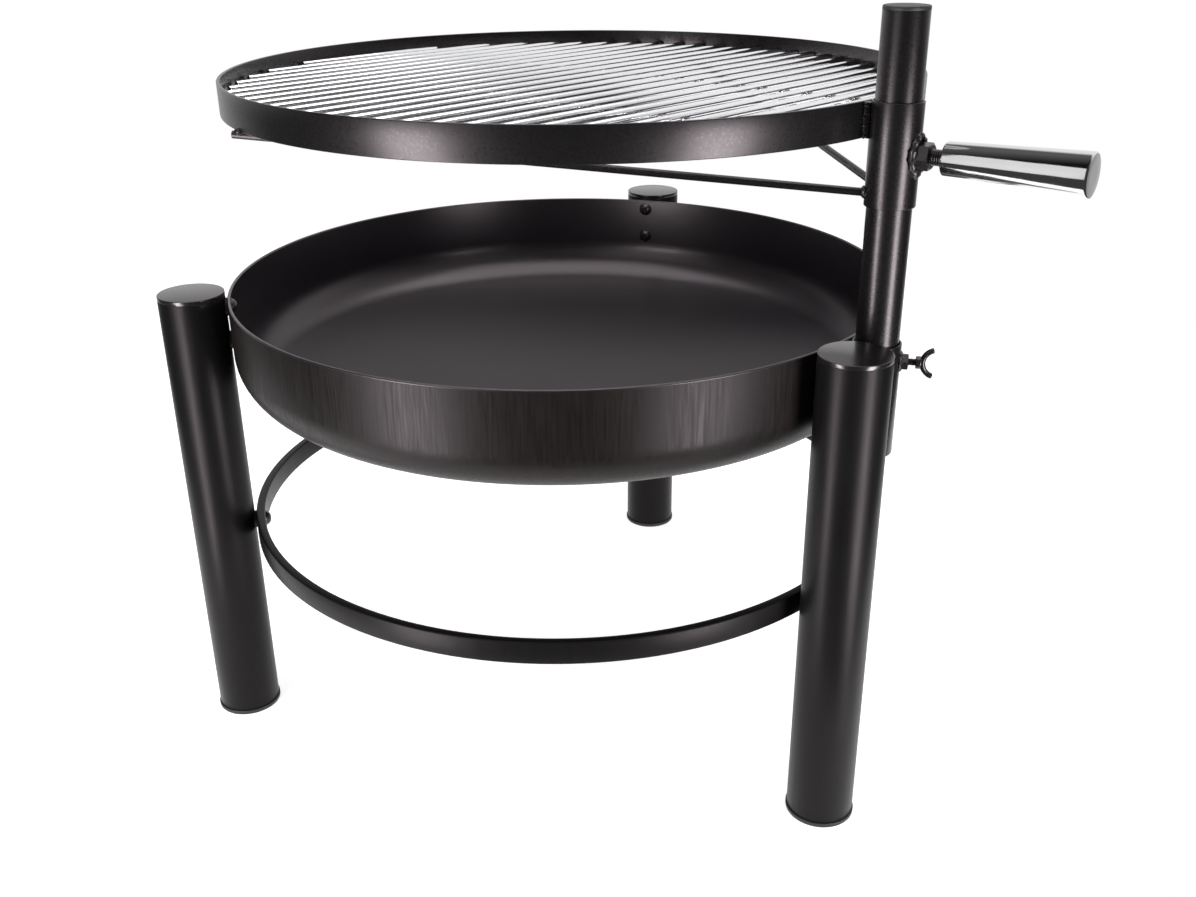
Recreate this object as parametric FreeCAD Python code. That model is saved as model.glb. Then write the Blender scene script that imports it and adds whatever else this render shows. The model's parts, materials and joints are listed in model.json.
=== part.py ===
import FreeCAD, Part
import math
import os

from FreeCAD import Vector

# Fire pit with a swinging grill: a dished steel bowl bolted between three tubular legs, a base ring
# that ties the legs, and a post in a socket on one leg that carries a round grill on a clamped sleeve.
# All sizes are in millimetres and all angles in degrees. Z is up and the floor is at Z = 0.

# Bowl: straight skirt, rounded knuckle and shallow crown, all pressed from one sheet
bowl_radius = 300.0
bowl_wall = 3.0
bowl_skirt = 47.5
bowl_knuckle = 42.5
bowl_crown = 750.0
rim_height = 420.0
rim_ease = 0.6

# Legs: three upright tubes round the bowl, each closed by a plate on top and a foot below
leg_diameter = 57.0
leg_wall = 2.0
leg_above_rim = 5.0
front_leg_angle = -48.5
leg_names = ("front", "back", "left")
plate_thickness = 3.5
plate_ease = 1.2
foot_thickness = 4.5
foot_lip = 1.0
foot_ease = 1.8
foot_plug_depth = 20.0
foot_plug_wall = 3.0
foot_plug_clearance = 0.15

# Base ring: one rolled flat bar inside the legs
ring_height = 200.0
ring_bar_height = 20.0
ring_bar_thickness = 8.0
ring_ease = 1.5

# Button-head bolts that hold the bowl and the ring to threaded inserts in the legs, over round spacers
bolt_diameter = 8.0
bolt_length = 20.0
bolt_head_diameter = 14.0
bolt_head_height = 4.4
bolt_crown_diameter = 6.4
bolt_dome_radius = 7.0
bolt_key_flats = 5.0
bolt_key_depth = 2.6
bolt_clearance = 0.3
bowl_bolt_drop = 10.0
bowl_spacer_thickness = 1.6
ring_spacer_thickness = 1.6
spacer_diameter = 16.0
insert_wall = 1.4
insert_length = 18.0
insert_collar_wall = 2.0
insert_collar_length = 4.0
insert_clearance = 0.1
thread_clearance = 0.1

# Socket: a tube welded upright to the side of the front leg, closed by a floor that the post stands on
carrier_tube_wall = 1.5
carrier_clearance = 0.65
socket_below_leg = 5.0
socket_length = 92.0
socket_floor_thickness = 3.0
socket_bowl_gap = 1.2
weld_gap = 0.2
weld_bead_radius = 3.0
weld_bead_reach = 9.0

# Post: a tube that turns in the socket, with a plug in its upper end
post_diameter = 33.7
post_wall = 2.6
post_length = 333.0
post_cap_thickness = 3.0
post_plug_depth = 14.0
post_plug_clearance = 0.15
post_cap_ease = 1.0

# Sleeve: the same tube as the socket, sliding on the post, with the grill hoop welded to its side
sleeve_lift = 106.5
sleeve_length = 76.0
hoop_radius = 302.0
hoop_bar_height = 26.5
hoop_bar_thickness = 3.0
hoop_drop = 1.0
hoop_ease = 0.8
grill_swing = -3.6

# Two straight rods in a V from the foot of the sleeve to the underside of the hoop, each spread this many
# degrees from the arm
support_rod_diameter = 6.0
support_rod_spread = 36.0
support_rod_rise = 8.0
support_rod_overhang = 4.0

# Grate: straight bars welded on two cross bars, lying loose in the hoop on four ledges
bar_diameter = 6.0
bar_pitch = 22.6
grate_drop = 10.0
grate_clearance = 1.0
cross_bar_offset = 81.0
ledge_width = 20.0
ledge_depth = 14.0
ledge_thickness = 3.5
ledge_clearance = 0.3

# Clamp screw: a tapered grip on a stud through a nut on the sleeve, nearly opposite the hoop
clamp_rise = 38.5
clamp_bearing = 6.0
clamp_thread = 12.0
clamp_nut_flats = 18.0
clamp_nut_thickness = 10.0
clamp_neck = 10.2
clamp_tip_gap = 0.3
stud_hole_clearance = 0.4
grip_length = 103.0
grip_small_diameter = 25.0
grip_large_diameter = 32.0
grip_ease = 1.5
grip_bore_depth = 30.0

# Wing screw: a bent round bar on a stud through a nut on the socket
wing_drop = 15.0
wing_bearing = 33.5
wing_thread = 6.0
wing_nut_flats = 12.0
wing_nut_thickness = 6.0
wing_neck = 5.5
wing_hub_diameter = 10.0
wing_hub_length = 4.5
wing_bore_depth = 2.8
wing_bar_diameter = 4.6
wing_bend_radius = 11.0
wing_bend_sweep = 150.0
wing_bar_seat = 0.7

# An edge is eased by at most this share of the wall that it is on
edge_share = 0.45

# A nut's corners are turned off at this angle, down to a round face of this share of its flats
nut_ease_angle = 30.0
nut_face_share = 0.95

# Places that follow from the sizes above
UP = Vector(0, 0, 1)
leg_radius = leg_diameter / 2
leg_height = rim_height + leg_above_rim
insert_diameter = bolt_diameter + 2 * thread_clearance + 2 * insert_wall
insert_collar_diameter = insert_diameter + 2 * insert_collar_wall
carrier_tube_bore = post_diameter + 2 * carrier_clearance
carrier_tube_diameter = carrier_tube_bore + 2 * carrier_tube_wall
carrier_radius = carrier_tube_diameter / 2
post_radius = post_diameter / 2
leg_circle = bowl_radius + bowl_spacer_thickness + leg_radius
ring_radius = leg_circle - leg_radius - ring_spacer_thickness
leg_angles = [front_leg_angle + 360.0 / len(leg_names) * i for i in range(len(leg_names))]
bowl_bolt_heights = (rim_height - bowl_bolt_drop, rim_height - bowl_skirt + bolt_head_diameter / 2)
socket_top = leg_height - socket_below_leg
socket_bottom = socket_top - socket_length
post_bottom = socket_bottom + socket_floor_thickness
post_cap_seat = post_bottom + post_length
sleeve_bottom = socket_top + sleeve_lift
sleeve_top = sleeve_bottom + sleeve_length
hoop_top = sleeve_top - hoop_drop
hoop_bottom = hoop_top - hoop_bar_height
hoop_inner_radius = hoop_radius - hoop_bar_thickness
bar_height = hoop_top - grate_drop - bar_diameter / 2
cross_bar_height = bar_height - bar_diameter
ledge_top = cross_bar_height - bar_diameter / 2 - ledge_clearance
clamp_height = sleeve_bottom + clamp_rise
wing_height = socket_top - wing_drop


def heading(angle):
    """Level unit vector at an angle from the X axis."""
    return Vector(math.cos(math.radians(angle)), math.sin(math.radians(angle)), 0)


def raised(point, height):
    """The point moved to a height above the floor."""
    return Vector(point.x, point.y, height)


# The socket touches the front leg and stands clear of the bowl: the three axes form a triangle
leg_axes = [heading(angle) * leg_circle for angle in leg_angles]
socket_reach = leg_radius + weld_gap + carrier_radius
post_circle = bowl_radius + socket_bowl_gap + carrier_radius
post_turn = math.acos((leg_circle ** 2 + post_circle ** 2 - socket_reach ** 2) / (2 * leg_circle * post_circle))
post_axis = heading(front_leg_angle + math.degrees(post_turn)) * post_circle
arm_angle = math.degrees(math.atan2(-post_axis.y, -post_axis.x)) + grill_swing
arm = heading(arm_angle)
across = heading(arm_angle + 90)
hoop_centre = post_axis + arm * (carrier_radius + weld_gap + hoop_radius)
clamp_way = heading(arm_angle + 180 + clamp_bearing)
wing_way = heading(front_leg_angle + wing_bearing)


def drum(diameter, length, base, axis):
    """Solid cylinder of a diameter and length, from its base centre along an axis."""
    return Part.makeCylinder(diameter / 2, length, base, axis)


def pipe(diameter, wall, base, length):
    """Upright tube with open ends."""
    outside = drum(diameter, length, base, UP)
    return outside.cut(drum(diameter - 2 * wall, length, base, UP))


def polygon(points):
    """Flat face inside a closed run of straight edges."""
    return Part.Face(Part.makePolygon(points + points[:1]))


def turned(face, base, axis):
    """Solid of a half section in the XZ plane, turned about Z and then stood on a base along an axis."""
    solid = face.revolve(Vector(0, 0, 0), UP, 360)
    solid.Placement = FreeCAD.Placement(base, FreeCAD.Rotation(UP, axis))
    return solid


def hexagon(flats, length, base, axis):
    """Six-sided prism from its base centre along an axis."""
    corner = flats / math.sqrt(3)
    points = [heading(60 * i) * corner for i in range(6)]
    prism = polygon(points).extrude(UP * length)
    prism.Placement = FreeCAD.Placement(base, FreeCAD.Rotation(UP, axis))
    return prism


def eased(solid, ease, height):
    """The solid with its level edges at one height taken off at 45 degrees."""
    edges = [e for e in solid.Edges if abs(e.BoundBox.ZMin - height) + abs(e.BoundBox.ZMax - height) < 0.01]
    return solid.makeChamfer(ease, edges)


def rolled_bar(outer_radius, thickness, bottom, height, edge_ease, centre):
    """Flat bar on edge, rolled into a closed ring, with eased corners."""
    inner = outer_radius - thickness
    top = bottom + height
    edge = min(edge_ease, edge_share * thickness)
    section = polygon([Vector(r, 0, z) for r, z in
                       ((inner, bottom), (outer_radius, bottom), (outer_radius, top), (inner, top))])
    ring = turned(section, raised(centre, 0), UP)
    return eased(eased(ring, edge, bottom), edge, top)


def bowl_form(inset):
    """Solid inside the bowl's outer surface, with that surface moved inwards by an inset."""
    radius = bowl_radius - inset
    knuckle = bowl_knuckle - inset
    crown = bowl_crown - inset
    knuckle_centre = Vector(bowl_radius - bowl_knuckle, 0, rim_height - bowl_skirt)
    crown_rise = math.sqrt((bowl_crown - bowl_knuckle) ** 2 - knuckle_centre.x ** 2)
    crown_centre = Vector(0, 0, knuckle_centre.z + crown_rise)
    meeting = math.atan2(-crown_rise, knuckle_centre.x)

    def around(centre, distance, angle):
        return centre + Vector(distance * math.cos(angle), 0, distance * math.sin(angle))

    rim = Vector(radius, 0, rim_height)
    skirt_end = around(knuckle_centre, knuckle, 0)
    knuckle_end = around(crown_centre, crown, meeting)
    lowest = around(crown_centre, crown, -math.pi / 2)
    mouth = Vector(0, 0, rim_height)
    edges = [
        Part.LineSegment(rim, skirt_end),
        Part.Arc(skirt_end, around(knuckle_centre, knuckle, meeting / 2), knuckle_end),
        Part.Arc(knuckle_end, around(crown_centre, crown, (meeting - math.pi / 2) / 2), lowest),
        Part.LineSegment(lowest, mouth),
        Part.LineSegment(mouth, rim),
    ]
    section = Part.Face(Part.Wire([edge.toShape() for edge in edges]))
    return turned(section, Vector(0, 0, 0), UP)


def button_bolt(seat, axis):
    """Bolt with a domed head and a six-sided key recess; the head's flat underside is at the seat."""
    centre = Vector(0, 0, 0)
    rim = Vector(bolt_head_diameter / 2, 0, 0)
    crown = Vector(bolt_crown_diameter / 2, 0, -bolt_head_height)
    peak = Vector(0, 0, -bolt_head_height)
    chord = crown - rim
    bulge = bolt_dome_radius - math.sqrt(bolt_dome_radius ** 2 - chord.Length ** 2 / 4)
    outward = Vector(-chord.z, 0, chord.x).normalize()
    dome_point = (rim + crown) / 2 + outward * bulge
    edges = [
        Part.LineSegment(centre, rim),
        Part.Arc(rim, dome_point, crown),
        Part.LineSegment(crown, peak),
        Part.LineSegment(peak, centre),
    ]
    head = turned(Part.Face(Part.Wire([edge.toShape() for edge in edges])), seat, axis)
    shank = drum(bolt_diameter, bolt_length, seat, axis)
    key = hexagon(bolt_key_flats, bolt_key_depth, seat - axis * bolt_head_height, axis)
    return head.fuse(shank).removeSplitter().cut(key)


def bolt_seat(inner_radius, angle, height):
    """Point where a flat bolt head meets a wall that curves round the bowl's axis."""
    head_radius = bolt_head_diameter / 2
    reach = math.sqrt(inner_radius ** 2 - head_radius ** 2)
    return raised(heading(angle) * reach, height)


def spacer(wall_radius, leg, angle, height):
    """Round spacer between a curved wall and a leg, hollowed to fit the wall and the leg."""
    outward = heading(angle)
    start = raised(outward * (wall_radius - spacer_diameter / 2), height)
    body = drum(spacer_diameter, spacer_diameter + leg_radius, start, outward)
    body = body.cut(drum(bolt_diameter + 2 * bolt_clearance, spacer_diameter + leg_radius, start, outward))
    body = body.cut(drum(2 * wall_radius, spacer_diameter * 2, Vector(0, 0, height - spacer_diameter), UP))
    body = body.cut(drum(leg_diameter, spacer_diameter * 2, raised(leg, height - spacer_diameter), UP))
    return min(body.Solids, key=lambda solid: solid.CenterOfMass.Length)


def insert(leg, angle, height):
    """Threaded insert through a leg's wall, with a swelled collar behind the wall."""
    outward = heading(angle)
    face = raised(outward * (leg_circle - leg_radius), height)
    outer_tube = drum(leg_diameter, 2 * insert_length, raised(leg, height - insert_length), UP)
    inner_tube = drum(leg_diameter - 2 * leg_wall, 2 * insert_length, raised(leg, height - insert_length), UP)
    body = drum(insert_diameter, insert_length, face, outward).common(outer_tube)
    collar_length = leg_wall + insert_collar_length
    collar = drum(insert_collar_diameter, collar_length, face, outward).common(inner_tube)
    bore = drum(bolt_diameter + 2 * thread_clearance, insert_length, face, outward)
    return body.fuse(collar).cut(bore)


def weld_beads(first, first_radius, second, second_radius, bottom, height):
    """Two upright beads in the grooves on either side of two round walls that meet."""
    towards = (second - first).normalize()
    contact = first + towards * (first_radius + weld_gap / 2)
    sideways = Vector(-towards.y, towards.x, 0)
    walls = [drum(2 * first_radius, height, raised(first, bottom), UP),
             drum(2 * second_radius, height, raised(second, bottom), UP)]
    beads = []
    for side in (1, -1):
        centre = contact + sideways * side * weld_bead_reach
        bead = drum(2 * weld_bead_radius, height, raised(centre, bottom), UP)
        beads += bead.cut(walls[0]).cut(walls[1]).Solids
    return Part.makeCompound(beads)


def weld_nut(flats, thickness, thread, axis_point, way):
    """Six-sided nut whose base is hollowed to sit on the carrier tube, with its outer corners eased."""
    reach = carrier_radius + thickness
    face = nut_face_share * flats / 2
    ease = (flats - face) * math.tan(math.radians(nut_ease_angle))
    nut = hexagon(flats, reach, axis_point, way)
    cone = polygon([Vector(0, 0, 0), Vector(flats, 0, 0), Vector(flats, 0, reach - ease),
                    Vector(face, 0, reach), Vector(0, 0, reach)])
    nut = nut.common(turned(cone, axis_point, way))
    nut = nut.cut(drum(carrier_tube_diameter, 2 * flats, axis_point - UP * flats, UP))
    return nut.cut(drum(thread + 2 * thread_clearance, reach, axis_point, way))


def make_bowl():
    """Dished bowl with two bolt holes at each leg."""
    bowl = bowl_form(0).cut(bowl_form(bowl_wall))
    bowl = eased(bowl, min(rim_ease, edge_share * bowl_wall), rim_height)
    for angle, height in bowl_bolt_places():
        start = raised(heading(angle) * (bowl_radius - bolt_head_diameter), height)
        bowl = bowl.cut(drum(bolt_diameter + 2 * bolt_clearance, 2 * bolt_head_diameter, start, heading(angle)))
    return bowl


def bowl_bolt_places():
    """Angle and height of each bolt between the bowl and the legs."""
    return [(angle, height) for angle in leg_angles for height in bowl_bolt_heights]


def make_leg(axis, angle):
    """Leg tube with holes for the threaded inserts on the side that faces the bowl."""
    length = leg_height - plate_thickness - foot_thickness
    leg = pipe(leg_diameter, leg_wall, raised(axis, foot_thickness), length)
    for height in bowl_bolt_heights + (ring_height,):
        start = raised(heading(angle) * (leg_circle - leg_radius - leg_wall), height)
        hole = drum(insert_diameter + 2 * insert_clearance, leg_radius, start, heading(angle))
        leg = leg.cut(hole)
    return leg


def make_foot(axis):
    """Plastic foot: a disc a little wider than the leg, with a hollow plug inside the tube."""
    disc = drum(leg_diameter + 2 * foot_lip, foot_thickness, raised(axis, 0), UP)
    disc = eased(disc, min(foot_ease, edge_share * foot_thickness), 0)
    plug_diameter = leg_diameter - 2 * leg_wall - 2 * foot_plug_clearance
    return disc.fuse(pipe(plug_diameter, foot_plug_wall, raised(axis, foot_thickness), foot_plug_depth))


def make_leg_plate(axis):
    """Flat plate that closes the top of a leg."""
    bottom = leg_height - plate_thickness
    plate = drum(leg_diameter, plate_thickness, raised(axis, bottom), UP)
    return eased(plate, min(plate_ease, edge_share * plate_thickness), leg_height)


def make_base_ring():
    """Ring of flat bar with one bolt hole at each leg."""
    bottom = ring_height - ring_bar_height / 2
    ring = rolled_bar(ring_radius, ring_bar_thickness, bottom, ring_bar_height, ring_ease, Vector(0, 0, 0))
    for angle in leg_angles:
        start = raised(heading(angle) * (ring_radius - 2 * ring_bar_thickness), ring_height)
        ring = ring.cut(drum(bolt_diameter + 2 * bolt_clearance, 3 * ring_bar_thickness, start, heading(angle)))
    return ring


def make_carrier_tube(bottom, length, hole_way, hole_height, thread):
    """Length of the tube that the post passes through, with a side hole for a screw."""
    tube = pipe(carrier_tube_diameter, carrier_tube_wall, raised(post_axis, bottom), length)
    hole = drum(thread + 2 * stud_hole_clearance, carrier_tube_diameter, raised(post_axis, hole_height), hole_way)
    return tube.cut(hole)


def make_post_cap():
    """Plug with a flat round top, flush with the post."""
    disc = drum(post_diameter, post_cap_thickness, raised(post_axis, post_cap_seat), UP)
    disc = eased(disc, min(post_cap_ease, edge_share * post_cap_thickness), post_cap_seat + post_cap_thickness)
    plug_diameter = post_diameter - 2 * post_wall - 2 * post_plug_clearance
    plug_bottom = raised(post_axis, post_cap_seat - post_plug_depth)
    return disc.fuse(drum(plug_diameter, post_plug_depth, plug_bottom, UP))


def make_support_rod(side):
    """Rod from the foot of the sleeve to just past the underside of the hoop, fitted to the sleeve's wall."""
    way = heading(arm_angle + side * support_rod_spread)
    rod_radius = support_rod_diameter / 2
    start_height = sleeve_bottom + support_rod_rise
    to_centre = hoop_centre - post_axis
    along = to_centre.dot(way)
    aside = math.sqrt(to_centre.Length ** 2 - along ** 2)
    run = along + math.sqrt(hoop_radius ** 2 - aside ** 2)
    slope = math.atan2(hoop_bottom - rod_radius - start_height, run)
    end_height = hoop_bottom - rod_radius / math.cos(slope)
    slope = math.atan2(end_height - start_height, run)
    rising = way * math.cos(slope) + UP * math.sin(slope)
    rod = drum(support_rod_diameter, (run + support_rod_overhang) / math.cos(slope),
               raised(post_axis, start_height), rising)
    return rod.cut(drum(carrier_tube_diameter, sleeve_length, raised(post_axis, sleeve_bottom), UP))


def half_bar(offset):
    """Half the length of a square-cut bar at an offset from the hoop's centre, just clear of the hoop."""
    reach = hoop_inner_radius - grate_clearance
    outer_side = abs(offset) + bar_diameter / 2
    return math.sqrt(reach ** 2 - outer_side ** 2)


def make_grate_bars():
    """Parallel bars square to the arm, as far out as the ends of the cross bars carry them."""
    last_offset = half_bar(cross_bar_offset) - bar_diameter / 2
    bars_each_side = int(last_offset / bar_pitch + 0.5)
    bars = []
    for i in range(-bars_each_side, bars_each_side):
        offset = (i + 0.5) * bar_pitch
        half = half_bar(offset)
        start = raised(hoop_centre + arm * offset - across * half, bar_height)
        bars.append(drum(bar_diameter, 2 * half, start, across))
    return Part.makeCompound(bars)


def cross_bar_ends(side):
    """The two ends of a cross bar, nearer the post first, at the cross bars' height."""
    half = half_bar(cross_bar_offset)
    middle = raised(hoop_centre + across * side * cross_bar_offset, cross_bar_height)
    return middle - arm * half, middle + arm * half


def make_cross_bar(side):
    """Bar under the grate's bars, along the arm."""
    start, end = cross_bar_ends(side)
    return drum(bar_diameter, (end - start).Length, start, arm)


def make_ledges():
    """Four flat ledges on the inside of the hoop, one under each end of the cross bars."""
    inside = drum(2 * hoop_inner_radius, ledge_thickness, raised(hoop_centre, ledge_top - ledge_thickness), UP)
    ledges = []
    for side in (1, -1):
        for end in cross_bar_ends(side):
            inward = (raised(hoop_centre, 0) - raised(end, 0)).normalize()
            sideways = Vector(-inward.y, inward.x, 0) * (ledge_width / 2)
            wall = raised(hoop_centre - inward * hoop_inner_radius, ledge_top - ledge_thickness)
            tip = wall + inward * ledge_depth
            back = wall - inward * hoop_bar_thickness
            plate = polygon([back - sideways, tip - sideways, tip + sideways, back + sideways])
            ledges.append(plate.extrude(UP * ledge_thickness).common(inside))
    return Part.makeCompound(ledges)


def make_clamp_stud():
    """Plain stud from just off the post, through sleeve and nut, into the grip's bore."""
    start = raised(post_axis, clamp_height) + clamp_way * (post_radius + clamp_tip_gap)
    length = carrier_radius - post_radius + clamp_nut_thickness + clamp_neck + grip_bore_depth - 2 * clamp_tip_gap
    return drum(clamp_thread, length, start, clamp_way)


def make_clamp_grip():
    """Tapered grip, thicker at its free end, with a bore for the stud."""
    base = raised(post_axis, clamp_height) + clamp_way * (carrier_radius + clamp_nut_thickness + clamp_neck)
    small = grip_small_diameter / 2
    large = grip_large_diameter / 2
    bore = clamp_thread / 2 + thread_clearance
    section = polygon([Vector(r, 0, z) for r, z in
                       ((bore, 0), (small, 0), (large, grip_length), (0, grip_length),
                        (0, grip_bore_depth), (bore, grip_bore_depth))])
    grip = turned(section, Vector(0, 0, 0), UP)
    edges = [e for e in grip.Edges if len(e.Vertexes) == 1 and e.BoundBox.XMax > small - 0.01]
    grip = grip.makeChamfer(grip_ease, edges)
    grip.Placement = FreeCAD.Placement(base, FreeCAD.Rotation(UP, clamp_way))
    return grip


def make_wing_stud():
    """Plain stud from just off the post, through socket and nut, into the wing's hub."""
    start = raised(post_axis, wing_height) + wing_way * (post_radius + clamp_tip_gap)
    length = carrier_radius - post_radius + wing_nut_thickness + wing_neck + wing_bore_depth - 2 * clamp_tip_gap
    return drum(wing_thread, length, start, wing_way)


def make_wing_handle():
    """Round bar bent into an open C in an upright plane, on a hub that takes the stud."""
    base = raised(post_axis, wing_height) + wing_way * (carrier_radius + wing_nut_thickness + wing_neck)
    hub = drum(wing_hub_diameter, wing_hub_length, base, wing_way)
    bore = drum(wing_thread + 2 * thread_clearance, wing_bore_depth, base, wing_way)
    bend_centre = base + wing_way * (wing_hub_length + wing_bar_seat + wing_bend_radius)
    side_axis = wing_way.cross(UP)
    first_end = FreeCAD.Rotation(side_axis, -wing_bend_sweep / 2).multVec(wing_way * -1)
    bar = Part.makeTorus(wing_bend_radius, wing_bar_diameter / 2, Vector(0, 0, 0), UP, -90, 270, wing_bend_sweep)
    turn = FreeCAD.Rotation(first_end, side_axis.cross(first_end), side_axis, "ZXY")
    bar.Placement = FreeCAD.Placement(bend_centre, turn)
    return hub.cut(bore).fuse(bar)


nodes = {"bowl": make_bowl(), "base_ring": make_base_ring()}

for name, axis, angle in zip(leg_names, leg_axes, leg_angles):
    nodes["leg_" + name] = make_leg(axis, angle)
    nodes["leg_plate_" + name] = make_leg_plate(axis)
    nodes["foot_" + name] = make_foot(axis)

bowl_inner_radius = bowl_radius - bowl_wall
ring_inner_radius = ring_radius - ring_bar_thickness
bowl_places = [(leg_axes[leg_angles.index(angle)], angle, height) for angle, height in bowl_bolt_places()]
ring_places = [(axis, angle, ring_height) for axis, angle in zip(leg_axes, leg_angles)]
for label, places, wall_radius, inner_radius in (
        ("bowl", bowl_places, bowl_radius, bowl_inner_radius),
        ("ring", ring_places, ring_radius, ring_inner_radius)):
    bolts = [button_bolt(bolt_seat(inner_radius, angle, height), heading(angle)) for _, angle, height in places]
    spacers = [spacer(wall_radius, axis, angle, height) for axis, angle, height in places]
    inserts = [insert(axis, angle, height) for axis, angle, height in places]
    nodes[label + "_bolts"] = Part.makeCompound(bolts)
    nodes[label + "_spacers"] = Part.makeCompound(spacers)
    nodes[label + "_inserts"] = Part.makeCompound(inserts)

nodes["socket_tube"] = make_carrier_tube(socket_bottom, socket_length, wing_way, wing_height, wing_thread)
nodes["socket_floor"] = drum(carrier_tube_bore, socket_floor_thickness, raised(post_axis, socket_bottom), UP)
nodes["socket_nut"] = weld_nut(wing_nut_flats, wing_nut_thickness, wing_thread,
                               raised(post_axis, wing_height), wing_way)
nodes["socket_welds"] = weld_beads(leg_axes[0], leg_radius, post_axis, carrier_radius,
                                   socket_bottom, socket_length - plate_thickness)
nodes["wing_stud"] = make_wing_stud()
nodes["wing_handle"] = make_wing_handle()

nodes["post_tube"] = pipe(post_diameter, post_wall, raised(post_axis, post_bottom), post_length)
nodes["post_cap"] = make_post_cap()

nodes["sleeve"] = make_carrier_tube(sleeve_bottom, sleeve_length, clamp_way, clamp_height, clamp_thread)
nodes["grill_hoop"] = rolled_bar(hoop_radius, hoop_bar_thickness, hoop_bottom, hoop_bar_height,
                                 hoop_ease, hoop_centre)
nodes["hoop_welds"] = weld_beads(hoop_centre, hoop_radius, post_axis, carrier_radius,
                                 hoop_bottom, hoop_bar_height)
nodes["support_rod_left"] = make_support_rod(1)
nodes["support_rod_right"] = make_support_rod(-1)
nodes["grate_ledges"] = make_ledges()
nodes["clamp_nut"] = weld_nut(clamp_nut_flats, clamp_nut_thickness, clamp_thread,
                              raised(post_axis, clamp_height), clamp_way)
nodes["clamp_stud"] = make_clamp_stud()
nodes["clamp_grip"] = make_clamp_grip()

nodes["grate_bars"] = make_grate_bars()
nodes["grate_cross_bar_left"] = make_cross_bar(1)
nodes["grate_cross_bar_right"] = make_cross_bar(-1)

# The origin is on the floor, at the middle of the whole object's width and depth
whole = Part.makeCompound(list(nodes.values())).optimalBoundingBox(False, False)
to_origin = Vector(-whole.Center.x, -whole.Center.y, 0)

os.makedirs("parts", exist_ok=True)
for name, shape in nodes.items():
    moved = shape.copy()
    moved.translate(to_origin)
    moved.exportStep("parts/" + name + ".step")

print("nodes", len(nodes), "size", [round(v, 1) for v in (whole.XLength, whole.YLength, whole.ZLength)])
print("bowl axis", [round(v, 3) for v in to_origin])
print("post axis", [round(v, 3) for v in post_axis + to_origin])
print("hoop centre", [round(v, 3) for v in hoop_centre + to_origin], "arm", round(arm_angle, 3))
print("clamp way", [round(v, 5) for v in clamp_way], "wing way", [round(v, 5) for v in wing_way])
print("clamp height", clamp_height, "wing height", wing_height, "hoop", hoop_bottom, hoop_top)
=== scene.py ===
# %% [markdown]
# # A fire pit with a swinging grill
# The solids of the part are loaded first, as a fixed frame in metres. Each round solid already knows
# where it stands, so its axis, radius and height are read from its box. Nothing is fitted by eye, and a
# piece that is made here stands exactly where the solid stands that it takes over from.

# %% Load the frame and read where the pieces stand
import bpy
import json
import math
from mathutils import Matrix, Vector


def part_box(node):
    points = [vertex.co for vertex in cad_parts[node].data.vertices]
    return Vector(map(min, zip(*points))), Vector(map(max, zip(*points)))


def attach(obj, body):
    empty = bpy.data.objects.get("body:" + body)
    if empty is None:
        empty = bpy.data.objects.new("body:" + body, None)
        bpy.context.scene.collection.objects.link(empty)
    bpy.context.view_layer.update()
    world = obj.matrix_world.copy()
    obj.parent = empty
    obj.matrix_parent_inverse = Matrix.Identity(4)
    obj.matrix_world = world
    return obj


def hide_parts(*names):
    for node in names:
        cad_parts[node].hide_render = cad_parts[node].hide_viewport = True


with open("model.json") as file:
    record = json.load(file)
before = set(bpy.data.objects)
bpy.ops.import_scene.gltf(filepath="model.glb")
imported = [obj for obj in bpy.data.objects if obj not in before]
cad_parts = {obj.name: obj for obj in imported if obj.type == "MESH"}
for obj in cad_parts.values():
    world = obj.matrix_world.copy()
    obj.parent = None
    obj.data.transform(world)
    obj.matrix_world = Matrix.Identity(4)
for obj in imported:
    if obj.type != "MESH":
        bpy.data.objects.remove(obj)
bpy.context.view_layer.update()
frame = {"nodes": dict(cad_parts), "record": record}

UP = Vector((0, 0, 1))


def round_node(node):
    """Axis on the floor, radius, bottom and top of an upright round node."""
    low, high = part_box(node)
    axis = Vector(((low.x + high.x) / 2, (low.y + high.y) / 2, 0))
    return axis, (high.x - low.x) / 2, low.z, high.z


bowl_axis, bowl_radius, _, rim_height = round_node("bowl")
hoop_axis, hoop_radius, hoop_bottom, hoop_top = round_node("grill_hoop")
post_axis, post_radius, post_bottom, post_top = round_node("post_tube")
print("nodes", len(frame["nodes"]), "bowl radius", round(bowl_radius, 4), "rim", round(rim_height, 4))

# %% [markdown]
# ## Clean hands before every piece
# An operator works on whatever is selected, and the loaded solids are all selected. So every piece
# starts from an empty selection, and one helper takes a single piece in hand.

# %% Selection helpers
def clear_selection():
    """Back to object mode with nothing selected."""
    if bpy.context.mode != "OBJECT":
        bpy.ops.object.mode_set(mode="OBJECT")
    bpy.ops.object.select_all(action="DESELECT")


def take_in_hand(piece):
    """Only this piece is selected and active."""
    clear_selection()
    piece.select_set(True)
    bpy.context.view_layer.objects.active = piece


clear_selection()
print("selected now", len(bpy.context.selected_objects))

# %% [markdown]
# ## Turning a piece
# Nearly everything on this fire pit is round: bowl, legs, rings, post, grip. Such a piece could start as a
# cylinder primitive, but then every rounded edge has to be bevelled afterwards. Here the half section is
# drawn point by point, as a turner's template, by extruding one vertex from place to place, and Spin
# carries it once round the axis. An outline that starts and ends on the axis gives a closed body. One that
# stays off the axis is closed to a loop first, so it gives a tube with a real wall.

# %% Helpers for turned pieces
same_place = 1e-6
edge_parts = 3


def arc(centre_r, centre_z, radius, start, end, parts):
    """Points of an arc in the half section, between two angles in degrees."""
    points = []
    for i in range(parts + 1):
        angle = math.radians(start + (end - start) * i / parts)
        points.append((centre_r + radius * math.cos(angle), centre_z + radius * math.sin(angle)))
    return points


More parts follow.
